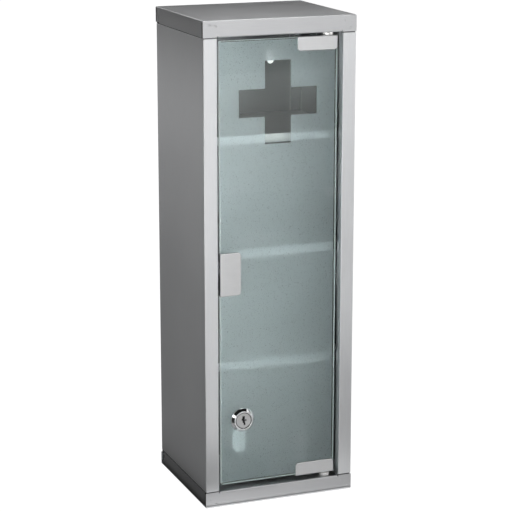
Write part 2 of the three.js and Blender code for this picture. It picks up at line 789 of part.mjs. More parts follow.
function lockPlug() {
  const shankEnd = camFront - SEAT;
  const profile = [
    [0, plugFace],
    [PLUG_HEAD_RADIUS, plugFace],
    [PLUG_HEAD_RADIUS, plugFace + PLUG_HEAD],
    [PLUG_RADIUS, plugFace + PLUG_HEAD],
    [PLUG_RADIUS, shankEnd],
    [0, shankEnd],
  ];
  const square = boxBetween(
    [lockX - tang / 2, shankEnd - SHEET, lockZ - tang / 2],
    [lockX + tang / 2, camBack - SEAT, lockZ + tang / 2],
  );
  const hole = rod(CAM_SCREW_RADIUS + SCREW_FIT, camBack - CAM_SCREW_LENGTH - SCREW_FIT, camBack + SHEET);
  const body = turnedY(profile, lockX, lockZ, ROUND_STEPS).add(square);
  return cut(body, [keyway(), turnedY(hole, lockX, lockZ, SMALL_ROUND_STEPS)]);
}

// The cam hangs down while the lock is open.
function lockCam() {
  const round = CAM_WIDTH / 2;
  const hole = tang / 2 + SEAT;
  const shape = new THREE.Shape();
  shape.absarc(lockX, lockZ, round, 0, Math.PI, false);
  shape.absarc(lockX, lockZ - camReach + round, round, Math.PI, 2 * Math.PI, false);
  shape.closePath();
  const square = boxBetween(
    [lockX - hole, camFront - CAM_THICKNESS, lockZ - hole],
    [lockX + hole, camBack + CAM_THICKNESS, lockZ + hole],
  );
  return extrudeY(shape, camFront, camBack).subtract(square);
}

function camScrew() {
  const seat = camBack + SEAT;
  const head = extrudeY(hexagonAbout(lockX, lockZ, CAM_SCREW_HEAD_RADIUS), seat, seat + CAM_SCREW_HEAD);
  const shank = rod(CAM_SCREW_RADIUS, camBack - CAM_SCREW_LENGTH, seat + CAM_SCREW_HEAD / 2);
  return head.add(turnedY(shank, lockX, lockZ, SMALL_ROUND_STEPS));
}

// Finishes

function finish(color, roughness, metalness) {
  return { color, roughness, metalness };
}

const BRUSHED_STEEL = finish(0xb9bbbe, 0.35, 1);
const SATIN_STEEL = finish(0xd2d2d0, 0.3, 1);
const BRIGHT_STEEL = finish(0xc4c6c8, 0.25, 1);
const CHROME = finish(0xe2e4e6, 0.08, 1);
const PANE = finish(0xa9bfb9, 0.4, 0);
const WHITE_NYLON = finish(0xf2f2ee, 0.5, 0);
const BLACK_PLASTIC = finish(0x222325, 0.5, 0);
const BLACK_RUBBER = finish(0x1b1c1d, 0.8, 0);
const CLEAR_LINER = finish(0xcfd6d4, 0.5, 0);
const FERRITE = finish(0x3a3b3d, 0.7, 0);

const cabinet = new THREE.Group();

function add(name, solid, look) {
  const mesh = new THREE.Mesh(geometryFrom(solid), new THREE.MeshStandardMaterial(look));
  mesh.name = name;
  cabinet.add(mesh);
}

add("top_tray", lidTray(HEIGHT, -1), BRUSHED_STEEL);
add("bottom_tray", lidTray(0, 1), BRUSHED_STEEL);
add("left_side_panel", sidePanel(-1), BRUSHED_STEEL);
add("right_side_panel", sidePanel(1), BRUSHED_STEEL);
add("back_panel", backPanel(), BRUSHED_STEEL);
for (let index = 0; index < SHELF_COUNT; index++) add(`shelf_${index + 1}`, shelf(index), BRUSHED_STEEL);

add("catch_housing", catchHousing(), BLACK_PLASTIC);
add("catch_magnet", catchMagnet(), FERRITE);
add("catch_pole_upper", catchPole(1), BRIGHT_STEEL);
add("catch_pole_lower", catchPole(-1), BRIGHT_STEEL);
catchScrewPlaces.forEach((x, index) => add(`catch_screw_${index + 1}`, catchScrew(x), BRIGHT_STEEL));

add("door_glass", doorGlass(), PANE);
for (const [place, end] of [
  ["top", 1],
  ["bottom", -1],
]) {
  add(`${place}_pivot_bush`, pivotBush(end), WHITE_NYLON);
  add(`${place}_pivot_pin`, pivotPin(end), BRIGHT_STEEL);
  add(`${place}_hinge_clip`, hingeClip(end), SATIN_STEEL);
  add(`${place}_hinge_liner`, hingeLiner(end), CLEAR_LINER);
  clipScrewPlaces(end).forEach((spot, index) =>
    add(`${place}_hinge_screw_${index + 1}`, hingeScrew(spot), BRIGHT_STEEL),
  );
}
add("pull_clip", pullClip(), SATIN_STEEL);
add("pull_liner", pullLiner(), BLACK_RUBBER);

add("lock_housing", lockHousing(), CHROME);
add("lock_gasket", lockGasket(), BLACK_RUBBER);
add("lock_washer", lockWasher(), BLACK_RUBBER);
add("lock_nut", lockNut(), BRIGHT_STEEL);
add("lock_plug", lockPlug(), CHROME);
add("lock_cam", lockCam(), BRIGHT_STEEL);
add("cam_screw", camScrew(), BRIGHT_STEEL);

export default cabinet;
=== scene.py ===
import json
import math
from contextlib import contextmanager

import bmesh
import bpy
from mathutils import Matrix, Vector


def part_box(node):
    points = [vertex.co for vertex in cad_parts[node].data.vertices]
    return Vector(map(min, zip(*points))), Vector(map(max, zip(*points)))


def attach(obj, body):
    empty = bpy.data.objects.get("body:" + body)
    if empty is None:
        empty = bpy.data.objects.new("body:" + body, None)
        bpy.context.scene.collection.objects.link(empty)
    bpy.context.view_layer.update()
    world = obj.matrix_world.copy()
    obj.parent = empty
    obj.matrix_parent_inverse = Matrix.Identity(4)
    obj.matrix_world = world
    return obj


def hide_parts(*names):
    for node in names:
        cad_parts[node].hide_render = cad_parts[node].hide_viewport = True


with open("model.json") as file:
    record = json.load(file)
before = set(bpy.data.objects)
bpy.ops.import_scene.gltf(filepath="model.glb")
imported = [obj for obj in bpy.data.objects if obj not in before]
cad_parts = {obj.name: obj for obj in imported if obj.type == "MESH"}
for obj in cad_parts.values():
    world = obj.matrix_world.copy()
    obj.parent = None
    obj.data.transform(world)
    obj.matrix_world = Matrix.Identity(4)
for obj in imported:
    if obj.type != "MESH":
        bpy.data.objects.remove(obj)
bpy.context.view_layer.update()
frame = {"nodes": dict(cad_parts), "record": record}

MM = 0.001

# How places and directions are compared
TOLERANCE = 0.02 * MM
MERGE_DISTANCE = 0.002 * MM
STRAIGHT = 0.999  # least part of an edge along the axis that it follows
FACING = 0.9  # least part of a flat face's normal along the way it looks
LEANING = 0.5  # the same on a rounded edge
EDGE_ON = 0.3  # most that the normal of the pane's edge leans to front or back
SMOOTH_ANGLE = 32  # most between faces that are shaded as one
SOFT_ANGLE = 40  # least angle of an edge that is softened
NORMAL_WEIGHT = 60

# Cabinet body
SHEET = 0.8 * MM
BEND = 1.3 * MM  # outside radius of every fold
NEST_STEP = 1 * MM  # from a tray's outside to what nests in it
SHOULDER_DROP = 0.4 * MM
SHOULDER_ANGLE = math.radians(40)  # least angle of a shoulder's edge that is rounded
SHOULDER_MARGIN = 0.1 * MM  # from a shoulder to where its seam has painted shade
SEAM_GROOVE = 1.2 * MM
STILE_LIP = 11 * MM
REAR_FLANGE = 16 * MM
CORNER_SLIT = 3 * MM
SLIT_START = 0.3 * MM  # from a fold to the closed end of a corner slit
SLIT_ROUND = 0.5 * MM
LIP_HALF = 78.5 * MM
OPENING_HALF = 80 * MM
LIP_RELIEF_HEIGHT = BEND + 0.3 * MM
LIP_PAST_PIVOT = 10 * MM
NOTCH_LENGTH = 12 * MM
NOTCH_GAP = 0.2 * MM  # from the bottom tray's rim to the cut in the panel inside it

# Rear notches: distances from the tray's rear and from its face, first along the tab left behind the notch
NOTCH_FRONT = [(0.8, 3.2), (8, 8.6), (10.6, 12), (11.6, 15), (11.4, 22)]
TOP_TAB = [(-2, 22), (-2, 19.2), (10.6, 19), (10.9, 15.2), (9.9, 12.3), (7.3, 9.0)]
BOTTOM_TAB = [(-2, 22), (-2, 17.5), (4.5, 15.6), (4.5, 8.5)]

# Spot welds: places in x and in distance from the tray's face
WELD_RADIUS = 4.5 * MM
WELD_DEPTH = 0.6 * MM
TOP_WELDS = [(-88.9, 5.2), (-81.9, 6.6), (81.8, 7.4), (89.6, 15.5)]
BOTTOM_WELDS = [(-90.5, 11.6), (-83.5, 4.6), (82.9, 14.3), (91.5, 7.6)]

# Keyholes of the back panel
KEYHOLE_X = 54.5 * MM
KEYHOLE_HEIGHT = 526 * MM
KEYHOLE_RADIUS = 4.5 * MM
KEYHOLE_SLOT_HEIGHT = 536 * MM
KEYHOLE_SLOT_HALF = 2.5 * MM

# Door
RIM = 1.6 * MM
CROSS_CENTRE = (1.4 * MM, 498.5 * MM)
CROSS_HALF = 50 * MM
CROSS_ARM_HALF = 16.7 * MM
CLIP_SEAT = 0.6 * MM  # liner and play on each side of the glass
CLIP_WEB = 1 * MM
CLIP_BEND = 1.9 * MM  # outside radius of a clip's fold

# Pivots and lock, whose turned profiles are in millimetres
BUSH_COLLAR = 3.65
BEZEL_HEIGHT = 5.5
BEZEL_GROOVE_RADIUS = 10.4 * MM  # radius inside which the bezel has painted shade
BEZEL_GROOVE_DEPTH = 4.2 * MM
TANG_LENGTH = 1.9
TANG_OVERLAP = 0.5
TANG_HALF = 3.82 * MM
TANG_HOLE_HALF = 3.92 * MM
KEYWAY_ROW = 2.9 * MM
KEYWAY_ROWS = [(1.2, 2.3), (0.4, 3.1), (-0.4, 4), (0.1, 3.2)]  # shift and width, lowest first
KEYWAY_OVERLAP = 0.01 * MM
KEYWAY_DEPTH = 11 * MM
KEYWAY_REACH = 6.3 * MM  # radius inside which the keyway's walls have painted shade
KEYWAY_DARK_DEPTHS = (1 * MM, KEYWAY_DEPTH + 0.1 * MM)
PLUG_RIM_RADIUS = 9.35 * MM  # radius outside which the plug's rim has painted shade
PLUG_RIM_DARK_DEPTHS = (0.3 * MM, 3.2 * MM)
PLUG_DISH = 0.2 * MM
DIMPLE = (2.9 * MM, 0.2 * MM)
DIMPLE_RADIUS = 1.6 * MM
DIMPLE_DEPTH = 1.3 * MM
SCREW_HEAD_RADIUS = 5.6 * MM
SCREW_HEAD_HEIGHT = 2.6 * MM
SCREW_HEAD_RIM = 0.5 * MM
SCREW_HEAD_RECESS = 0.5 * MM
SCREW_HEAD_SEAT = 2.5 * MM
SHANK_START = 1  # from the head's outside, so that the shank starts in the head

# Radii of holes
BUSH_HOLE = 4.2 * MM
CATCH_SCREW_HOLE = 1.7 * MM
PIN_HOLE = 2.6 * MM
CLIP_SCREW_HOLE = 2.2 * MM
BARREL_HOLE = 9.95 * MM
CAM_SCREW_HOLE = 2.1 * MM
HEX_SOCKET = 1.1 * MM

# Lengths of the drills, which are centred on the place they drill, and reach of other cutters past a piece
SHORT_DRILL = 4 * MM
MIDDLE_DRILL = 6 * MM
LONG_DRILL = 10 * MM
SCREW_DRILL = 12 * MM
PANE_DRILL = 30 * MM
SOCKET_DRILL = 3.2 * MM
PAST = 10 * MM
KEYWAY_PAST = 2 * MM

# Sides of round forms
HEXAGON = 6
SHANK_SIDES = 24
SMALL_SIDES = 32
HOLE_SIDES = 48
PANE_HOLE_SIDES = 64
LOCK_SIDES = 96
BALL_RINGS = 16

# Rounded edges: width and number of steps
FOLD_ROUND = (BEND, 6)
SHOULDER_ROUND = (0.45 * MM, 3)
GLASS_CORNER = (2 * MM, 6)
GLASS_EDGE = (0.5 * MM, 3)
CLIP_CORNER = (4.2 * MM, 8)
CLIP_FOLD = (CLIP_BEND, 6)
CLIP_EDGE = (1.1 * MM, 4)
CAM_END = (8.98 * MM, 12)
BACK_SOFT = (0.15 * MM, 1)
CLIP_SOFT = (0.12 * MM, 1)
PLUG_SOFT = (0.12 * MM, 2)
PLUG_SOFT_ANGLE = 50
CAM_SOFT = (0.25 * MM, 2)
SCREW_SOFT = (0.15 * MM, 2)

# Grain of the finishes
GRAIN_DEPTH = 0.02 * MM
GRAIN_DETAIL = 4
CLOUD_DETAIL = 3
GRAIN_SPAN = (0.25, 0.75)  # the part of a mask that is carried onto a range
CLOUD_SPAN = (0.35, 0.65)

# Places that the joints and the glass give
JOINTS = {joint["name"]: joint["pos_m"] for joint in frame["record"]["behaviour"]["joints"]}
PIVOT = JOINTS["door_hinge"][:2]
LOCK = (JOINTS["lock_turn"][0], JOINTS["lock_turn"][2])
GLASS_FRONT, GLASS_BACK = (corner[1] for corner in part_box("door_glass"))
GLASS_MIDDLE = (GLASS_FRONT + GLASS_BACK) / 2
SLOT_HALF = (GLASS_BACK - GLASS_FRONT) / 2 + CLIP_SEAT


# Places and directions

def near(a, b):
    return abs(a - b) < TOLERANCE


def midpoint(low, high):
    return [(a + b) / 2 for a, b in zip(low, high)]


def node_middle(node):
    return midpoint(*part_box(node))


def on_line(centre, along, axis):
    """A point on a line along Y, whose centre is an x and a z, or along Z, whose centre is an x and a y."""
    x, other = centre
    return Vector((x, along, other) if axis == "Y" else (x, other, along))


def middle(edge):
    return (edge.verts[0].co + edge.verts[1].co) / 2


def runs_along(edge, axis):
    way = edge.verts[1].co - edge.verts[0].co
    return abs(way[axis]) > STRAIGHT * way.length


# Modelling by hand-like steps

def deselect():
    bpy.ops.object.select_all(action="DESELECT")


def hold(*pieces):
    """Select these pieces alone and make the last one active."""
    deselect()
    for piece in pieces:
        piece.select_set(True)
    bpy.context.view_layer.objects.active = pieces[-1]


def fix_place():
    bpy.ops.object.transform_apply(location=True, rotation=True, scale=True)


@contextmanager
def shaping(piece):
    hold(piece)
    bpy.ops.object.mode_set(mode="EDIT")
    yield
    bpy.ops.object.mode_set(mode="OBJECT")


def pick(kind, test):
    """Select the vertices, edges or faces that pass the test, and nothing else."""
    mesh = bpy.context.object.data
    bpy.ops.mesh.select_mode(type=kind)
    bpy.ops.mesh.select_all(action="DESELECT")
    form = bmesh.from_edit_mesh(mesh)
    for item in {"VERT": form.verts, "EDGE": form.edges, "FACE": form.faces}[kind]:
        if test(item):
            item.select_set(True)
    form.select_flush_mode()
    bmesh.update_edit_mesh(mesh)


def pick_all():
    bpy.ops.mesh.select_all(action="SELECT")


def extrude(way):
    bpy.ops.mesh.extrude_region_move(TRANSFORM_OT_translate={"value": way})


def slice_at(spot, normal):
    bpy.ops.mesh.bisect(plane_co=spot, plane_no=normal)


def round_edges(rounding, test):
    pick("EDGE", test)
    width, steps = rounding
    bpy.ops.mesh.bevel(offset=width, segments=steps, affect="EDGES")


def face_outwards():
    pick_all()
    bpy.ops.mesh.normals_make_consistent(inside=False)


def start_block(name, low, high):
    deselect()
    bpy.ops.mesh.primitive_cube_add(size=1, location=midpoint(low, high))
    piece = bpy.context.object
    piece.scale = [b - a for a, b in zip(low, high)]
    fix_place()
    piece.name = name
    return piece


def start_square_on_lock(name, half, start, end):
    x, z = LOCK
    return start_block(name, (x - half, start, z - half), (x + half, end, z + half))


def start_point(name):
    deselect()
    bpy.ops.mesh.primitive_plane_add(size=MM)
    piece = bpy.context.object
    piece.name = name
    return piece


def draw_line(points):
    """Shrink the piece in hand to one point and pull that along the points."""
    bpy.ops.mesh.select_mode(type="VERT")
    pick_all()
    bpy.ops.mesh.merge(type="CENTER")
    bpy.ops.transform.translate(value=points[0])
    for before, after in zip(points, points[1:]):
        extrude(after - before)
    pick_all()


def turned(name, profile, centre, steps, axis="Y"):
    """Spin a profile of radius and place pairs, in millimetres, about a line along Y or Z."""
    piece = start_point(name)
    x, other = centre
    with shaping(piece):
        draw_line([on_line((x + radius * MM, other), along * MM, axis) for radius, along in profile])
        bpy.ops.mesh.spin(
            steps=steps,
            angle=2 * math.pi,
            center=on_line(centre, 0, axis),
            axis=on_line((0, 0), 1, axis),
        )
        pick_all()
        bpy.ops.mesh.remove_doubles(threshold=MERGE_DISTANCE)
        bpy.ops.mesh.normals_make_consistent(inside=False)
    return piece


def drill(radius, centre, length, axis="Z", sides=HOLE_SIDES):
    deselect()
    turn = (math.pi / 2, 0, 0) if axis == "Y" else (0, 0, 0)
    bpy.ops.mesh.primitive_cylinder_add(
        vertices=sides, radius=radius, depth=length, location=centre, rotation=turn
    )
    return bpy.context.object


def ball_mark(radius, depth, x, face, z):
    """A cutter for a round mark that is pressed into a face at the front."""
    deselect()
    bpy.ops.mesh.primitive_uv_sphere_add(
        segments=2 * BALL_RINGS,
        ring_count=BALL_RINGS,
        radius=radius,
        location=(x, face - radius + depth, z),
    )
    return bpy.context.object


def apply_modifier(piece, kind, **values):
    hold(piece)
    modifier = piece.modifiers.new(kind.title(), kind)
    for key, value in values.items():
        setattr(modifier, key, value)
    bpy.ops.object.modifier_apply(modifier=modifier.name)


def thicken(piece):
    apply_modifier(piece, "SOLIDIFY", thickness=SHEET, offset=-1, use_even_offset=True)


def combine(piece, other, operation):
    apply_modifier(piece, "BOOLEAN", operation=operation, solver="EXACT", object=other)
    bpy.data.objects.remove(other, do_unlink=True)


def cut(piece, *cutters):
    for cutter in cutters:
        combine(piece, cutter, "DIFFERENCE")


def soften(piece, rounding, angle=SOFT_ANGLE):
    width, steps = rounding
    apply_modifier(
        piece,
        "BEVEL",
        width=width,
        segments=steps,
        limit_method="ANGLE",
        angle_limit=math.radians(angle),
        use_clamp_overlap=True,
    )


def place(piece, body, finish, node):
    hold(piece)
    bpy.ops.object.shade_smooth_by_angle(angle=math.radians(SMOOTH_ANGLE))
    apply_modifier(piece, "WEIGHTED_NORMAL", keep_sharp=True, weight=NORMAL_WEIGHT)
    piece.data.materials.clear()
    piece.data.materials.append(finish)
    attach(piece, body)
    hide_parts(node)


def paint(piece, finish, test):
    """Give another finish to the faces that pass the test."""
    number = len(piece.data.materials)
    piece.data.materials.append(finish)
    for face in piece.data.polygons:
        if test(face):
            face.material_index = number


# Node group and finishes

def make_group(name, inputs, outputs):
    group = bpy.data.node_groups.new(name, "ShaderNodeTree")
    for label, kind, value in inputs:
        socket = group.interface.new_socket(name=label, in_out="INPUT", socket_type=kind)
        socket.default_value = value
    for label, kind in outputs:
        group.interface.new_socket(name=label, in_out="OUTPUT", socket_type=kind)
    source = group.nodes.new("NodeGroupInput")
    result = group.nodes.new("NodeGroupOutput")
    return group, source, result


def make_grain():
    """Fine drawn-out grain and a broad cloud of handling marks."""
    group, source, result = make_group(
        "steel_grain",
        [
            ("Vector", "NodeSocketVector", (0, 0, 0)),
            ("Stretch", "NodeSocketVector", (1, 1, 1)),
            ("Cloud Scale", "NodeSocketFloat", 9.0),
        ],
        [("Grain", "NodeSocketFloat"), ("Cloud", "NodeSocketFloat")],
    )
    nodes, links = group.nodes, group.links
    drawn = nodes.new("ShaderNodeVectorMath")
    drawn.operation = "MULTIPLY"
    links.new(source.outputs["Vector"], drawn.inputs[0])
    links.new(source.outputs["Stretch"], drawn.inputs[1])
    fine = nodes.new("ShaderNodeTexNoise")
    fine.inputs["Scale"].default_value = 1
    fine.inputs["Detail"].default_value = GRAIN_DETAIL
    links.new(drawn.outputs["Vector"], fine.inputs["Vector"])
    links.new(fine.outputs["Fac"], result.inputs["Grain"])
    broad = nodes.new("ShaderNodeTexNoise")
    broad.inputs["Detail"].default_value = CLOUD_DETAIL
    links.new(source.outputs["Vector"], broad.inputs["Vector"])
    links.new(source.outputs["Cloud Scale"], broad.inputs["Scale"])
    links.new(broad.outputs["Fac"], result.inputs["Cloud"])
    return group


GRAIN = make_grain()


def new_finish(name):
    finish = bpy.data.materials.new(name)
    finish.use_nodes = True
    tree = finish.node_tree
    return finish, tree, tree.nodes["Principled BSDF"]


def grain_masks(tree, stretch, cloud):
    """The outputs of the grain group on this finish's own scales."""
    coords = tree.nodes.new("ShaderNodeTexCoord")
    grain = tree.nodes.new("ShaderNodeGroup")
    grain.node_tree = GRAIN
    grain.inputs["Stretch"].default_value = stretch
    grain.inputs["Cloud Scale"].default_value = cloud
    tree.links.new(coords.outputs["Object"], grain.inputs["Vector"])
    return grain.outputs


def spread(tree, value, low, high, span=GRAIN_SPAN):
    """Carry a mask onto a range of values."""
    node = tree.nodes.new("ShaderNodeMapRange")
    node.inputs["From Min"].default_value, node.inputs["From Max"].default_value = span
    node.inputs["To Min"].default_value = low
    node.inputs["To Max"].default_value = high
    tree.links.new(value, node.inputs["Value"])
    return node.outputs["Result"]


def blend_colours(tree, value, first, second):
    node = tree.nodes.new("ShaderNodeMix")
    node.data_type = "RGBA"
    node.inputs["A"].default_value = (*first, 1)
    node.inputs["B"].default_value = (*second, 1)
    tree.links.new(value, node.inputs["Factor"])
    return node.outputs["Result"]


def grained_finish(
    name, dark, light, roughness, stretch, cloud=9.0, metallic=1.0, bump=0.1, specular=0.5
):
    finish, tree, shader = new_finish(name)
    links = tree.links
    grain = grain_masks(tree, stretch, cloud)
    masks = tree.nodes.new("ShaderNodeMath")
    masks.operation = "ADD"
    links.new(spread(tree, grain["Grain"], 0, 0.5), masks.inputs[0])
    links.new(spread(tree, grain["Cloud"], 0, 0.5, CLOUD_SPAN), masks.inputs[1])
    links.new(blend_colours(tree, masks.outputs["Value"], dark, light), shader.inputs["Base Color"])
    links.new(spread(tree, masks.outputs["Value"], *roughness, (0, 1)), shader.inputs["Roughness"])
    relief = tree.nodes.new("ShaderNodeBump")
    relief.inputs["Strength"].default_value = bump
    relief.inputs["Distance"].default_value = GRAIN_DEPTH
    links.new(grain["Grain"], relief.inputs["Height"])
    links.new(relief.outputs["Normal"], shader.inputs["Normal"])
    shader.inputs["Metallic"].default_value = metallic
    shader.inputs["Specular IOR Level"].default_value = specular
    return finish


def dull_finish(name, dark, light, roughness, grain, cloud, bump, specular=0.5):
    """A plastic, rubber or other finish that isn't metal, with an even grain."""
    return grained_finish(name, dark, light, roughness, [grain] * 3, cloud, 0, bump, specular)


def glass_finish(name, grain, cloud, roughness, tints, transmission, ior, rough_mask="Grain", glow=0):
    finish, tree, shader = new_finish(name)
    links = tree.links
    masks = grain_masks(tree, [grain] * 3, cloud)
    links.new(spread(tree, masks[rough_mask], *roughness), shader.inputs["Roughness"])
    tint = blend_colours(tree, masks["Cloud"], *tints)
    links.new(tint, shader.inputs["Base Color"])
    if glow:
        links.new(tint, shader.inputs["Emission Color"])
        shader.inputs["Emission Strength"].default_value = glow
    shader.inputs["Transmission Weight"].default_value = transmission
    shader.inputs["IOR"].default_value = ior
    return finish


DRAWN_UPRIGHT = (900, 900, 60)
DRAWN_LEVEL = (60, 900, 900)
SHEET_ROUGHNESS = (0.30, 0.38)

PANEL_STEEL = grained_finish(
    "brushed_panel_steel", (0.74, 0.75, 0.765), (0.81, 0.82, 0.832), SHEET_ROUGHNESS, DRAWN_UPRIGHT
)
TRAY_STEEL = grained_finish(
    "brushed_tray_steel", (0.56, 0.565, 0.578), (0.62, 0.625, 0.635), SHEET_ROUGHNESS, DRAWN_LEVEL
)
SHELF_STEEL = grained_finish(
    "shelf_sheet_steel", (0.36, 0.36, 0.37), (0.41, 0.41, 0.42), SHEET_ROUGHNESS, DRAWN_LEVEL
)
# Painted shade: a darker copy of the sheet steel, for the cabinet's inner faces
INSIDE_STEEL_PAINTED_SHADE = grained_finish(
    "inside_sheet_steel", (0.16, 0.16, 0.165), (0.21, 0.21, 0.215), SHEET_ROUGHNESS, DRAWN_LEVEL
)
CLIP_STEEL = grained_finish(
    "satin_clip_steel", (0.67, 0.675, 0.68), (0.74, 0.745, 0.75), (0.28, 0.36), (80, 1400, 1400), 40
)
FASTENER_STEEL = grained_finish(
    "bright_fastener_steel", (0.62, 0.63, 0.64), (0.72, 0.72, 0.73), (0.2, 0.3), [1500] * 3, 120
)
ZINC = grained_finish(
    "zinc_plated_steel", (0.80, 0.81, 0.81), (0.88, 0.88, 0.87), (0.38, 0.5), [900] * 3, 70, metallic=0.45
)
CHROME = grained_finish(
    "polished_chrome", (0.80, 0.81, 0.82), (0.86, 0.87, 0.88), (0.04, 0.09), [700] * 3, 60, bump=0.02
)
PLUG_METAL = grained_finish(
    "satin_plug_metal", (0.62, 0.62, 0.62), (0.70, 0.70, 0.70), (0.34, 0.44), [900] * 3, 90
)
WHITE_NYLON = dull_finish(
    "white_nylon", (0.90, 0.90, 0.88), (0.94, 0.94, 0.92), (0.42, 0.52), 600, 120, bump=0.05
)
BLACK_PLASTIC = dull_finish(
    "black_plastic", (0.014, 0.015, 0.017), (0.022, 0.023, 0.025), (0.42, 0.55), 600, 120, bump=0.08
)
CLEAR_LINER = dull_finish(
    "clear_liner", (0.62, 0.66, 0.64), (0.70, 0.73, 0.71), (0.4, 0.5), 400, 80, bump=0.05
)
BLACK_RUBBER = dull_finish(
    "black_rubber", (0.008, 0.008, 0.009), (0.02, 0.02, 0.021), (0.6, 0.8), 900, 90, bump=0.2
)
FERRITE = dull_finish(
    "sintered_ferrite", (0.03, 0.03, 0.032), (0.06, 0.06, 0.062), (0.55, 0.75), 1500, 150, bump=0.3
)
# Painted shade: a near-black finish laid where shade falls, in seam grooves, corner slits, the bezel's
# groove and the keyway
PAINTED_SHADE = dull_finish(
    "dark_seam", (0.012, 0.012, 0.013), (0.03, 0.03, 0.031), (0.6, 0.75), 500, 60, bump=0.1, specular=0.05
)
GLASS = glass_finish(
    "pale_green_glass",
    grain=30,
    cloud=6,
    roughness=(0.0, 0.03),
    tints=((0.90, 0.97, 0.94), (0.92, 0.98, 0.955)),
    transmission=1,
    ior=1.4,
    rough_mask="Cloud",
)
# Painted light: the ground edge glows faintly, though it is no lamp
GROUND_EDGE_PAINTED_GLOW = glass_finish(
    "ground_glass_edge",
    grain=900,
    cloud=30,
    roughness=(0.4, 0.6),
    tints=((0.62, 0.70, 0.69), (0.70, 0.78, 0.77)),
    transmission=0.2,
    ior=1.5,
    glow=0.2,
)
FROST = glass_finish(
    "etched_frost",
    grain=1200,
    cloud=5,
    roughness=(0.26, 0.34),
    tints=((0.745, 0.845, 0.88), (0.785, 0.875, 0.91)),
    transmission=0.65,
    ior=1.4,
)


# Folded sheet pieces

def pan_levels(low, high, plate_up):
    """The heights of a pan's plate and of its rim, and the way from the plate to the rim."""
    return (high[2], low[2], -1) if plate_up else (low[2], high[2], 1)


def folded_pan(name, low, high, plate_up):
    """The outer skin of a plate with four flanges and slit corners."""
    piece = start_block(name, low, high)
    plate, rim, fall = pan_levels(low, high, plate_up)
    front, back = low[1], high[1]
    slit_top = BEND + SLIT_START
    slit = SHEET + CORNER_SLIT

    def drop(z):
        return (z - plate) * fall

    def at_slit(edge):
        spot = middle(edge)
        at_corner = near(abs(spot.x), high[0]) and (near(spot.y, front) or near(spot.y, back))
        return at_corner and runs_along(edge, 2) and drop(spot.z) > slit_top

    with shaping(piece):
        pick("FACE", lambda f: near(f.calc_center_median().z, rim))
        bpy.ops.mesh.delete(type="FACE")
        round_edges(FOLD_ROUND, lambda e: near(middle(e).z, plate))
        for depth in (slit_top, slit_top + SLIT_ROUND):
            pick_all()
            slice_at((0, 0, plate + fall * depth), (0, 0, 1))
        pick("EDGE", at_slit)
        bpy.ops.mesh.edge_split(type="EDGE")
        for end, shift in ((front, slit), (back, -slit)):
            pick(
                "VERT",
                lambda v: near(v.co.y, end)
                and drop(v.co.z) > slit_top + SLIT_ROUND / 2
                and all(abs(f.normal.x) > FACING for f in v.link_faces),
            )
            bpy.ops.transform.translate(value=(0, shift, 0))
    return piece


def flange_notch(side, low, high, plate_up, tab):
    """A cutter for the curved rear notch of one side flange, which leaves a tab of sheet behind it."""
    plate, _, fall = pan_levels(low, high, plate_up)
    rear = high[1] - SHEET
    wall = side * high[0] - 2 * SHEET
    outline = tab + NOTCH_FRONT
    cutter = start_point("notch_cutter")
    with shaping(cutter):
        draw_line([Vector((wall, rear - run * MM, plate + fall * drop * MM)) for run, drop in outline])
        bpy.ops.mesh.edge_face_add()
        extrude((4 * SHEET, 0, 0))
        face_outwards()
    return cutter


def end_tray(node, plate_up, tab, welds):
    low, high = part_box(node)
    plate, rim, fall = pan_levels(low, high, plate_up)
    front = low[1]
    relief = rim - fall * LIP_RELIEF_HEIGHT
    piece = folded_pan(f"{node}_sheet", low, high, plate_up)

    def on_front(face):
        return face.normal.y < -FACING

    def beside_lip(face):
        spot = face.calc_center_median()
        return LIP_HALF < abs(spot.x) < OPENING_HALF and (spot.z - relief) * fall > 0

    def at_lip_fold(edge):
        spot = middle(edge)
        in_lip = near(spot.z, rim) and near(spot.y, front) and abs(spot.x) < LIP_HALF
        return in_lip and runs_along(edge, 0)

    with shaping(piece):
        for x in (-OPENING_HALF, -LIP_HALF, LIP_HALF, OPENING_HALF):
            pick("FACE", on_front)
            slice_at((x, 0, 0), (1, 0, 0))
        pick("FACE", lambda f: on_front(f) and abs(f.calc_center_median().x) < OPENING_HALF)
        slice_at((0, 0, relief), (0, 0, 1))
        pick("FACE", lambda f: on_front(f) and beside_lip(f))
        bpy.ops.mesh.delete(type="FACE")
        pick("EDGE", at_lip_fold)
        extrude((0, PIVOT[1] + LIP_PAST_PIVOT - front, 0))
        round_edges(FOLD_ROUND, at_lip_fold)
    thicken(piece)
    cut(
        piece,
        drill(BUSH_HOLE, (*PIVOT, rim), MIDDLE_DRILL),
        *[flange_notch(side, low, high, plate_up, tab) for side in (-1, 1)],
        *[
            ball_mark(WELD_RADIUS, WELD_DEPTH, x * MM, front, plate + fall * drop * MM)
            for x, drop in welds
        ],
    )
    place(piece, "cabinet", TRAY_STEEL, node)
    # Painted shade on the cut edge at the closed end of each corner slit
    slit_end = front + SHEET + CORNER_SLIT
    paint(piece, PAINTED_SHADE, lambda f: on_front(f) and near(f.center.y, slit_end))


def panel_sides(low, high, side):
    """The x of a panel's wall and of its stile's inner edge."""
    return (high[0], low[0]) if side > 0 else (low[0], high[0])


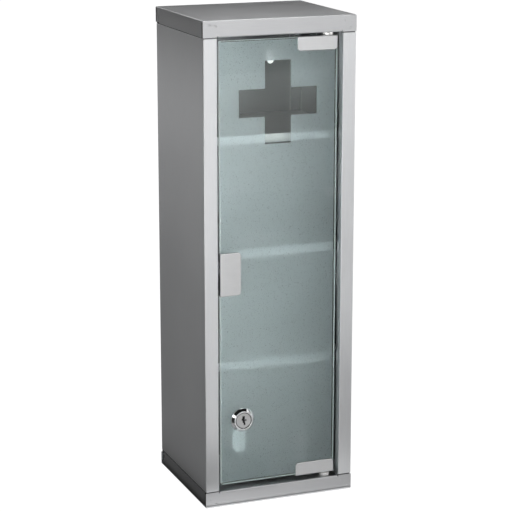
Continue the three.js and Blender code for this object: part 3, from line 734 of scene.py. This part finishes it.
def panel_skin(name, side, step, low, high, bottom, top):
    """The outer skin of a panel's wall, stile, lip and rear flange between two heights."""
    outer, inner = panel_sides(low, high, side)
    wall = outer - side * step
    front, back = low[1] + step, high[1]
    deselect()
    bpy.ops.mesh.primitive_plane_add(
        size=1,
        location=(wall, (front + back) / 2, (bottom + top) / 2),
        rotation=(0, side * math.pi / 2, 0),
    )
    piece = bpy.context.object
    piece.name = name
    piece.scale = (top - bottom, back - front, 1)
    fix_place()

    def upright(edge, x, y):
        return runs_along(edge, 2) and near(middle(edge).x, x) and near(middle(edge).y, y)

    folds = ((wall, front), (inner, front), (wall, back))
    with shaping(piece):
        pick("EDGE", lambda e: upright(e, wall, front))
        extrude((inner - wall, 0, 0))
        extrude((0, low[1] + STILE_LIP - front, 0))
        pick("EDGE", lambda e: upright(e, wall, back))
        extrude((-side * (REAR_FLANGE - step), 0, 0))
        round_edges(FOLD_ROUND, lambda e: any(upright(e, *fold) for fold in folds))
    return piece


def side_panel(node, side):
    low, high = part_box(node)
    tray_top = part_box("bottom_tray")[1][2]
    seams = (tray_top + SEAM_GROOVE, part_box("top_tray")[0][2] - SEAM_GROOVE)
    nests = (seams[0] - SHOULDER_DROP, seams[1] + SHOULDER_DROP)
    piece = panel_skin(f"{node}_sheet", side, 0, low, high, *seams)
    lower = panel_skin("lower_end", side, NEST_STEP, low, high, low[2], nests[0])
    upper = panel_skin("upper_end", side, NEST_STEP, low, high, nests[1], high[2])
    hold(lower, upper, piece)
    bpy.ops.object.join()

    def level_at(edge, *heights):
        return not runs_along(edge, 2) and any(near(middle(edge).z, z) for z in heights)

    with shaping(piece):
        for shoulder, nest in zip(seams, nests):
            pick("EDGE", lambda e: e.is_boundary and level_at(e, shoulder, nest))
            bpy.ops.mesh.bridge_edge_loops()
        face_outwards()
        for shoulder in seams:
            round_edges(
                SHOULDER_ROUND,
                lambda e: not e.is_boundary
                and level_at(e, shoulder)
                and e.calc_face_angle(0) > SHOULDER_ANGLE,
            )
    thicken(piece)
    wall, _ = panel_sides(low, high, side)
    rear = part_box("bottom_tray")[1][1] - SHEET
    corner = start_block(
        "corner_cutter",
        (wall - NOTCH_LENGTH, rear - NOTCH_LENGTH, low[2] - SHEET),
        (wall + NOTCH_LENGTH, rear + SHEET, tray_top - NOTCH_GAP),
    )
    cut(piece, corner)
    place(piece, "cabinet", PANEL_STEEL, node)

    def in_seam(face):
        past_shoulder = not seams[0] - SHOULDER_MARGIN < face.center.z < seams[1] + SHOULDER_MARGIN
        return past_shoulder and max(side * face.normal.x, -face.normal.y) > LEANING

    def inside(face):
        on_wall = side * face.normal.x < -FACING and near(face.center.x, wall - side * SHEET)
        on_rear_flange = face.normal.y < -FACING and face.center.y > 0
        return (on_wall or on_rear_flange) and not in_seam(face)

    # Painted shade on the nested ends that show in the seam grooves past each shoulder
    paint(piece, PAINTED_SHADE, in_seam)
    # Painted shade: the inner faces of the wall and rear flange take the darker inside steel
    paint(piece, INSIDE_STEEL_PAINTED_SHADE, inside)


def shelf(node, holes=()):
    low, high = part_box(node)
    piece = folded_pan(f"{node}_sheet", low, high, True)
    thicken(piece)
    cut(piece, *[drill(CATCH_SCREW_HOLE, (*hole, high[2]), SHORT_DRILL) for hole in holes])
    place(piece, "cabinet", SHELF_STEEL, node)


def keyhole_cutters(x, y):
    """A round hole for a screw's head, and a slot with a round end above it."""
    slot = start_block(
        "slot_cutter",
        (x - KEYHOLE_SLOT_HALF, y - LONG_DRILL / 2, KEYHOLE_HEIGHT),
        (x + KEYHOLE_SLOT_HALF, y + LONG_DRILL / 2, KEYHOLE_SLOT_HEIGHT),
    )
    head = drill(KEYHOLE_RADIUS, (x, y, KEYHOLE_HEIGHT), LONG_DRILL, "Y")
    slot_end = drill(KEYHOLE_SLOT_HALF, (x, y, KEYHOLE_SLOT_HEIGHT), LONG_DRILL, "Y")
    return head, slot_end, slot


def back_panel():
    low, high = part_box("back_panel")
    piece = start_block("back_panel_sheet", low, high)
    for x in (-KEYHOLE_X, KEYHOLE_X):
        cut(piece, *keyhole_cutters(x, low[1]))
    soften(piece, BACK_SOFT)
    # Painted shade: the back panel takes the darker inside steel, and its outer rear face the panel steel
    place(piece, "cabinet", INSIDE_STEEL_PAINTED_SHADE, "back_panel")
    paint(piece, PANEL_STEEL, lambda f: f.normal.y > LEANING)


# Door pieces

def glass_pane():
    """The pane, etched on its rear face but for a clear cross and a clear rim."""
    low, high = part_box("door_glass")
    piece = start_block("door_pane", low, high)
    mid_x, mid_z = CROSS_CENTRE
    arms = (-CROSS_HALF, -CROSS_ARM_HALF, CROSS_ARM_HALF, CROSS_HALF)
    left, right = low[0] + RIM, high[0] - RIM
    bottom, top = low[2] + RIM, high[2] - RIM

    def on_rear(face):
        return face.normal.y > FACING

    def etched(face):
        spot = face.center
        across, rise = abs(spot.x - mid_x), abs(spot.z - mid_z)
        in_cross = max(across, rise) < CROSS_HALF and min(across, rise) < CROSS_ARM_HALF
        within_rim = left < spot.x < right and bottom < spot.z < top
        return on_rear(face) and within_rim and not in_cross

    with shaping(piece):
        round_edges(GLASS_CORNER, lambda e: runs_along(e, 1))
        round_edges(GLASS_EDGE, lambda e: not runs_along(e, 1))
        for x in (left, *[mid_x + reach for reach in arms], right):
            pick("FACE", on_rear)
            slice_at((x, 0, 0), (1, 0, 0))
        for z in (bottom, *[mid_z + reach for reach in arms], top):
            pick("FACE", on_rear)
            slice_at((0, 0, z), (0, 0, 1))
    cut(piece, drill(BARREL_HOLE, on_line(LOCK, low[1], "Y"), PANE_DRILL, "Y", PANE_HOLE_SIDES))
    place(piece, "door", GLASS, "door_glass")
    paint(piece, GROUND_EDGE_PAINTED_GLOW, lambda f: abs(f.normal.y) < EDGE_ON)
    paint(piece, FROST, etched)


def edge_clip(node, axis, way):
    """A steel clip folded over an edge of the pane, on the side that the axis and the way along it give."""
    low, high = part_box(node)
    piece = start_block(f"{node}_plate", low, high)
    free, folded = (low[axis], high[axis]) if way > 0 else (high[axis], low[axis])
    bend = folded - way * CLIP_BEND

    def on_face(edge):
        return near(middle(edge).y, low[1]) or near(middle(edge).y, high[1])

    def at(edge, reach):
        return near(middle(edge)[axis], reach)

    with shaping(piece):
        round_edges(CLIP_CORNER, lambda e: runs_along(e, 1) and at(e, free))
        round_edges(CLIP_FOLD, lambda e: on_face(e) and at(e, folded))
        round_edges(CLIP_EDGE, lambda e: on_face(e) and not runs_along(e, 1) and not at(e, bend))
    slot_low = [low[0] - PAST, GLASS_MIDDLE - SLOT_HALF, low[2] - PAST]
    slot_high = [high[0] + PAST, GLASS_MIDDLE + SLOT_HALF, high[2] + PAST]
    (slot_high if way > 0 else slot_low)[axis] = folded - way * CLIP_WEB
    cut(piece, start_block("slot_cutter", slot_low, slot_high))
    if axis == 2:
        cut(piece, drill(PIN_HOLE, (*PIVOT, folded), SHORT_DRILL))
        for number in (1, 2):
            spot = node_middle(node.replace("clip", f"screw_{number}"))
            cut(piece, drill(CLIP_SCREW_HOLE, spot, MIDDLE_DRILL, "Y", SMALL_SIDES))
    soften(piece, CLIP_SOFT)
    place(piece, "door", CLIP_STEEL, node)


# Pivots, lock and screws

def length_along(node, axis):
    """Where a node starts and ends along an axis, in millimetres."""
    low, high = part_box(node)
    return low[axis] / MM, high[axis] / MM


def off_lock_axis(face):
    return math.hypot(face.center.x - LOCK[0], face.center.z - LOCK[1])


def pivot_bush(node, end):
    bottom, top = length_along(node, 2)
    seat, tip = (bottom, top) if end > 0 else (top, bottom)
    collar = seat + end * BUSH_COLLAR
    profile = [
        (2.65, seat + end * 0.3),
        (2.95, seat),
        (5.9, seat),
        (6.3, seat + end * 0.4),
        (6.3, collar - end * 0.2),
        (6.1, collar),
        (4.05, collar),
        (4.05, tip - end * 0.4),
        (3.65, tip),
        (2.65, tip),
        (2.65, seat + end * 0.3),
    ]
    piece = turned(f"{node}_nylon", profile, PIVOT, HOLE_SIDES, "Z")
    place(piece, "cabinet", WHITE_NYLON, node)


def lock_housing():
    front, end = length_along("lock_housing", 1)
    base = front + BEZEL_HEIGHT
    profile = [
        (10.05, front + 0.8),
        (10.3, front + 0.4),
        (10.55, front + 0.08),
        (10.75, front),
        (11.65, front),
        (11.95, front + 0.12),
        (12.15, front + 0.34),
        (14.9, front + 3.25),
        (15.3, front + 3.85),
        (15.5, front + 4.4),
        (15.55, front + 4.9),
        (15.55, base - 0.15),
        (15.4, base),
        (9.25, base),
        (9.25, end - 0.4),
        (8.9, end),
        (6.75, end),
        (6.75, front + 3.95),
        (10.05, front + 3.95),
        (10.05, front + 0.8),
    ]
    piece = turned("lock_bezel", profile, LOCK, LOCK_SIDES)
    place(piece, "door", CHROME, "lock_housing")
    # Painted shade in the bezel's groove round the plug
    groove_end = front * MM + BEZEL_GROOVE_DEPTH
    paint(
        piece,
        PAINTED_SHADE,
        lambda f: off_lock_axis(f) < BEZEL_GROOVE_RADIUS and f.center.y < groove_end,
    )


def keyway_cutter(row, front):
    """One step of the keyway's outline."""
    shift, width = (value * MM for value in KEYWAY_ROWS[row])
    x = LOCK[0] + shift
    z = LOCK[1] + (row - (len(KEYWAY_ROWS) - 1) / 2) * KEYWAY_ROW
    reach = KEYWAY_ROW / 2 + KEYWAY_OVERLAP
    return start_block(
        "keyway_cutter",
        (x - width / 2, front - KEYWAY_PAST, z - reach),
        (x + width / 2, front + KEYWAY_DEPTH, z + reach),
    )


def lock_plug():
    low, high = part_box("lock_plug")
    face, end = length_along("lock_plug", 1)
    shank = end - TANG_LENGTH
    profile = [
        (0, face + 0.25),
        (3.0, face + 0.22),
        (6.0, face + 0.14),
        (9.0, face),
        (9.2, face + 0.03),
        (9.4, face + 0.25),
        (9.8, face + 0.9),
        (9.8, face + 3),
        (6.5, face + 3),
        (6.5, shank),
        (0, shank),
    ]
    piece = turned("lock_cylinder", profile, LOCK, LOCK_SIDES)
    tang = start_square_on_lock("tang_block", TANG_HALF, (shank - TANG_OVERLAP) * MM, high[1])
    combine(piece, tang, "UNION")
    for row in range(len(KEYWAY_ROWS)):
        cut(piece, keyway_cutter(row, low[1]))
    dimple_x, dimple_z = LOCK[0] + DIMPLE[0], LOCK[1] + DIMPLE[1]
    cut(piece, ball_mark(DIMPLE_RADIUS, DIMPLE_DEPTH, dimple_x, low[1] + PLUG_DISH, dimple_z))
    cut(piece, drill(CAM_SCREW_HOLE, on_line(LOCK, high[1], "Y"), SCREW_DRILL, "Y", SMALL_SIDES))
    soften(piece, PLUG_SOFT, PLUG_SOFT_ANGLE)
    place(piece, "lock", PLUG_METAL, "lock_plug")

    # Painted shade on the keyway's walls and in the groove round the plug's rim
    def dark(face):
        radius = off_lock_axis(face)
        depth = face.center.y - low[1]
        in_keyway = radius < KEYWAY_REACH and KEYWAY_DARK_DEPTHS[0] < depth < KEYWAY_DARK_DEPTHS[1]
        in_groove = radius > PLUG_RIM_RADIUS and PLUG_RIM_DARK_DEPTHS[0] < depth < PLUG_RIM_DARK_DEPTHS[1]
        return in_keyway or in_groove

    paint(piece, PAINTED_SHADE, dark)


def lock_cam():
    low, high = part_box("lock_cam")
    piece = start_block("lock_cam_plate", low, high)
    with shaping(piece):
        round_edges(CAM_END, lambda e: runs_along(e, 1))
    cut(piece, start_square_on_lock("tang_cutter", TANG_HOLE_HALF, low[1] - PAST, high[1] + PAST))
    soften(piece, CAM_SOFT)
    place(piece, "lock", ZINC, "lock_cam")


def cam_screw():
    low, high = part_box("cam_screw")
    head_middle = on_line(LOCK, high[1] - SCREW_HEAD_HEIGHT / 2, "Y")
    piece = drill(SCREW_HEAD_RADIUS, head_middle, SCREW_HEAD_HEIGHT, "Y", HEXAGON)
    fix_place()
    piece.name = "cam_screw_body"
    with shaping(piece):
        pick("FACE", lambda f: f.normal.y > FACING)
        bpy.ops.mesh.inset(thickness=SCREW_HEAD_RIM)
        bpy.ops.transform.translate(value=(0, -SCREW_HEAD_RECESS, 0))
        pick("FACE", lambda f: f.normal.y < -FACING)
        bpy.ops.mesh.inset(thickness=SCREW_HEAD_SEAT)
    start, end = length_along("cam_screw", 1)
    inner_end = end - SHANK_START
    profile = [(0, start), (1.6, start), (1.9, start + 0.3), (1.9, inner_end), (0, inner_end)]
    combine(piece, turned("shank_block", profile, LOCK, SHANK_SIDES), "UNION")
    soften(piece, SCREW_SOFT)
    place(piece, "lock", FASTENER_STEEL, "cam_screw")


def hinge_screw(node):
    x, _, z = node_middle(node)
    start, end = length_along(node, 1)
    profile = [(0, start), (1.7, start), (2.0, start + 0.3), (2.0, end - 0.25), (1.75, end), (0, end)]
    piece = turned(f"{node}_body", profile, (x, z), SMALL_SIDES)
    cut(piece, drill(HEX_SOCKET, (x, end * MM, z), SOCKET_DRILL, "Y", HEXAGON))
    place(piece, "door", FASTENER_STEEL, node)


end_tray("top_tray", True, TOP_TAB, TOP_WELDS)
end_tray("bottom_tray", False, BOTTOM_TAB, BOTTOM_WELDS)
side_panel("left_side_panel", -1)
side_panel("right_side_panel", 1)
back_panel()
shelf("shelf_1")
shelf("shelf_2", [node_middle(f"catch_screw_{number}")[:2] for number in (1, 2)])
shelf("shelf_3")
glass_pane()
edge_clip("top_hinge_clip", 2, 1)
edge_clip("bottom_hinge_clip", 2, -1)
edge_clip("pull_clip", 0, -1)
pivot_bush("top_pivot_bush", 1)
pivot_bush("bottom_pivot_bush", -1)
lock_housing()
lock_plug()
lock_cam()
cam_screw()
for end in ("top", "bottom"):
    for number in (1, 2):
        hinge_screw(f"{end}_hinge_screw_{number}")

KEPT_NODES = {
    "catch_housing": BLACK_PLASTIC,
    "catch_magnet": FERRITE,
    "catch_pole_upper": FASTENER_STEEL,
    "catch_pole_lower": FASTENER_STEEL,
    "catch_screw_1": FASTENER_STEEL,
    "catch_screw_2": FASTENER_STEEL,
    "top_pivot_pin": FASTENER_STEEL,
    "bottom_pivot_pin": FASTENER_STEEL,
    "top_hinge_liner": CLEAR_LINER,
    "bottom_hinge_liner": CLEAR_LINER,
    "pull_liner": BLACK_RUBBER,
    "lock_gasket": BLACK_RUBBER,
    "lock_washer": BLACK_RUBBER,
    "lock_nut": FASTENER_STEEL,
}
for node, finish in KEPT_NODES.items():
    frame["nodes"][node].material_slots[0].material = finish


# Studio

CAMERA_PLACE = (-0.8165, -2.0866, 0.8462)
CAMERA_AZIMUTH = math.radians(-21.425)
CAMERA_ELEVATION = math.radians(13.881)
CAMERA_LENS = 129.40
CAMERA_SENSOR = 36
WHITE = (1, 1, 1, 1)
WORLD_LIGHT = 0.35
FLOOR_SIZE = 30
FLOOR_DROP = 0.2 * MM
FLOOR_COLOUR = (0.75, 0.75, 0.75, 1)
FLOOR_SEEN_COLOUR = (0.35, 0.35, 0.35, 1)
FLOOR_SEEN_GLOW = 0.93

# Turns of the cards, in degrees
UPRIGHT_TO_SIDE = (0, 90, 0)
UPRIGHT_TO_FRONT = (90, 0, 0)
LEVEL = (0, 0, 0)
LEVEL_ASKEW = (0, 0, 20)

# Cards: name, centre, size, turn, grey, and the grey at the far end where it fades
STUDIO_CARDS = [
    ("side_card", (-0.5, 1.35, 0.21), (0.42, 2.1), UPRIGHT_TO_SIDE, 0.38, 0.18),
    ("side_top_card", (-0.5, 1.35, 0.76), (0.68, 2.1), UPRIGHT_TO_SIDE, 0.02),
    ("side_floor_card", (-0.31, 1.15, 0.001), (0.38, 2.5), LEVEL, 0.16),
    # side_foot_card and side_edge_card: dark floor strips seen only in metal, a painted contact shadow
    # along the left foot
    ("side_foot_card", (-0.112, 0.06, 0.0015), (0.028, 0.34), LEVEL, 0.07),
    ("side_edge_card", (-0.1, 0.06, 0.0018), (0.006, 0.34), LEVEL, 0.01),
    ("left_card", (-0.6, -0.1, 0.4), (0.8, 0.8), UPRIGHT_TO_SIDE, 0.02),
    ("left_floor_card", (-0.43, -0.1, 0.001), (0.36, 0.6), LEVEL, 0.04),
    ("rear_card", (0.69, 0.6, 0.71), (1.42, 0.32), UPRIGHT_TO_FRONT, 0.03),
    ("rear_light_card", (0.1, 1.2, 1.3), (0.9, 0.3), UPRIGHT_TO_FRONT, 1.6),
    ("side_bend_card", (-0.23, 0.6, 0.88), (0.3, 0.16), UPRIGHT_TO_FRONT, 1.2),
    ("front_bend_card", (0.14, -0.08, 0.95), (0.36, 0.18), LEVEL, 4.5),
    ("lock_floor_card", (-0.19, -0.22, 0.001), (0.13, 0.24), LEVEL, 0.35),
    ("near_floor_card", (0.1, -0.5, 0.001), (0.5, 0.8), LEVEL, 0.15, 0.34),
    ("hinge_floor_card", (0.09, -0.17, 0.0016), (0.13, 0.066), LEVEL, 0.62),
    ("foot_light_card", (0, -0.115, 0.0015), (0.24, 0.042), LEVEL, 0.84, 0.48),
    ("floor_fade_card", (0.37, -1.03, 0.002), (0.3, 1.7), LEVEL_ASKEW, 0.95, 0.05),
    ("right_wall_floor_card", (0.9, 0.75, 0.001), (1.4, 1.5), LEVEL, 0.5, 0.3),
    ("back_floor_card", (0.1, 1.1, 0.0008), (0.5, 1.8), LEVEL, 0.45),
    ("right_floor_card", (0.85, -1.1, 0.0015), (0.5, 1.2), LEVEL, 0.05),
    # foot_card: a dark floor strip seen only in metal, a painted contact shadow along the front foot
    ("foot_card", (0, -0.0885, 0.002), (0.22, 0.004), LEVEL, 0.12),
    ("ceiling_card", (-0.5, 0.7, 2.2), (5, 2), LEVEL, 0.12),
    ("front_ceiling_card", (-0.5, -1, 2.2), (5, 1.4), LEVEL, 0.01),
    ("low_reflector", (0.42, -1.8, 0.135), (0.4, 0.27), UPRIGHT_TO_FRONT, 1.35),
    ("low_fade_card", (0.74, -1.8, 0.135), (0.24, 0.27), UPRIGHT_TO_FRONT, 1.25, 0.1),
    ("dark_band", (0.52, -1.85, 0.27), (0.86, 0.14), UPRIGHT_TO_FRONT, 0.03),
    ("grey_band", (0.5, -1.9, 0.45), (1.6, 0.12), UPRIGHT_TO_FRONT, 1, 0.6),
    ("right_dark_card", (0.84, -1.86, 0.3), (0.12, 0.6), UPRIGHT_TO_FRONT, 0.1),
    ("left_light_card", (-0.55, -0.29, 0.31), (0.16, 0.1), UPRIGHT_TO_SIDE, 4),
    ("clip_edge_card", (-0.5, -0.62, 0.3), (0.4, 0.25), UPRIGHT_TO_SIDE, 1.5),
    ("top_edge_card", (1, -2.2, 1.75), (1.4, 0.5), UPRIGHT_TO_FRONT, 1.6),
    ("front_wall_card", (0, -3.6, 1.6), (7, 3), UPRIGHT_TO_FRONT, 0.05),
]
SHOWN_THROUGH_GLASS = ("near_floor_card", "front_wall_card")


def bare_nodes(owner):
    owner.use_nodes = True
    owner.node_tree.nodes.clear()
    return owner.node_tree


def larger(tree, first, second):
    node = tree.nodes.new("ShaderNodeMath")
    node.operation = "MAXIMUM"
    tree.links.new(first, node.inputs[0])
    tree.links.new(second, node.inputs[1])
    return node.outputs["Value"]


def choose_by_ray(tree, lighting, shown, result):
    """Show one shader to the camera, in metal and through glass, and light the object with the other."""
    rays = tree.nodes.new("ShaderNodeLightPath").outputs
    seen = larger(tree, rays["Is Camera Ray"], rays["Is Glossy Ray"])
    choice = tree.nodes.new("ShaderNodeMixShader")
    tree.links.new(larger(tree, seen, rays["Is Transmission Ray"]), choice.inputs["Fac"])
    tree.links.new(lighting, choice.inputs[1])
    tree.links.new(shown, choice.inputs[2])
    tree.links.new(choice.outputs["Shader"], result.inputs["Surface"])


def white_background(tree, strength):
    node = tree.nodes.new("ShaderNodeBackground")
    node.inputs["Color"].default_value = WHITE
    node.inputs["Strength"].default_value = strength
    return node.outputs["Background"]


def matt_surface(tree, colour):
    node = tree.nodes.new("ShaderNodeBsdfDiffuse")
    node.inputs["Color"].default_value = colour
    return node.outputs["BSDF"]


def make_world():
    world = bpy.data.worlds.new("studio")
    bpy.context.scene.world = world
    tree = bare_nodes(world)
    result = tree.nodes.new("ShaderNodeOutputWorld")
    choose_by_ray(tree, white_background(tree, WORLD_LIGHT), white_background(tree, 1), result)


def make_floor():
    deselect()
    bpy.ops.mesh.primitive_plane_add(size=FLOOR_SIZE, location=(0, 0, -FLOOR_DROP))
    floor = bpy.context.object
    floor.name = "studio_floor"
    finish = bpy.data.materials.new("pale_floor")
    tree = bare_nodes(finish)
    glow = tree.nodes.new("ShaderNodeEmission")
    glow.inputs["Strength"].default_value = FLOOR_SEEN_GLOW
    pale = tree.nodes.new("ShaderNodeAddShader")
    tree.links.new(matt_surface(tree, FLOOR_SEEN_COLOUR), pale.inputs[0])
    tree.links.new(glow.outputs["Emission"], pale.inputs[1])
    result = tree.nodes.new("ShaderNodeOutputMaterial")
    choose_by_ray(tree, matt_surface(tree, FLOOR_COLOUR), pale.outputs["Shader"], result)
    floor.data.materials.append(finish)


def soft_light(name, place_at, aim, size, watts, spread_angle=180, in_metal=True):
    lamp = bpy.data.lights.new(name, "AREA")
    lamp.shape = "RECTANGLE"
    lamp.size, lamp.size_y = size
    lamp.energy = watts
    lamp.spread = math.radians(spread_angle)
    light = bpy.data.objects.new(name, lamp)
    light.visible_camera = False
    light.visible_glossy = in_metal
    bpy.context.scene.collection.objects.link(light)
    light.location = place_at
    light.rotation_euler = (Vector(aim) - Vector(place_at)).to_track_quat("-Z", "Y").to_euler()


def studio_card(name, centre, size, turn, grey, far_grey=None):
    """A card that shows only in metal, and through glass where listed. It may fade along its own X."""
    deselect()
    bpy.ops.mesh.primitive_plane_add(size=1, location=centre, rotation=[math.radians(a) for a in turn])
    card = bpy.context.object
    card.name = name
    card.scale = (*size, 1)
    finish = bpy.data.materials.new(name)
    tree = bare_nodes(finish)
    glow = tree.nodes.new("ShaderNodeEmission")
    coords = tree.nodes.new("ShaderNodeTexCoord")
    split = tree.nodes.new("ShaderNodeSeparateXYZ")
    tree.links.new(coords.outputs["Object"], split.inputs["Vector"])
    far_grey = grey if far_grey is None else far_grey
    tree.links.new(spread(tree, split.outputs["X"], grey, far_grey, (-0.5, 0.5)), glow.inputs["Strength"])
    result = tree.nodes.new("ShaderNodeOutputMaterial")
    tree.links.new(glow.outputs["Emission"], result.inputs["Surface"])
    card.data.materials.append(finish)
    card.visible_camera = False
    card.visible_diffuse = False
    card.visible_transmission = name in SHOWN_THROUGH_GLASS
    card.visible_shadow = False


def make_camera():
    camera = bpy.data.cameras.new("photo_camera")
    camera.lens = CAMERA_LENS
    camera.sensor_width = CAMERA_SENSOR
    holder = bpy.data.objects.new("photo_camera", camera)
    bpy.context.scene.collection.objects.link(holder)
    holder.location = CAMERA_PLACE
    level = math.cos(CAMERA_ELEVATION)
    back = Vector(
        (
            math.sin(CAMERA_AZIMUTH) * level,
            -math.cos(CAMERA_AZIMUTH) * level,
            math.sin(CAMERA_ELEVATION),
        )
    )
    holder.rotation_euler = back.to_track_quat("Z", "Y").to_euler()
    bpy.context.scene.camera = holder


make_world()
make_floor()
make_camera()
for card_values in STUDIO_CARDS:
    studio_card(*card_values)
soft_light("front_softbox", (0.6, -2.3, 0.62), (0, 0, 0.42), (1.2, 1.2), 8)
soft_light("near_strip", (-0.062, -0.38, 0.33), (-0.05, -0.08, 0.33), (0.06, 0.52), 3, 45, in_metal=False)
bpy.context.scene.view_settings.view_transform = "Standard"
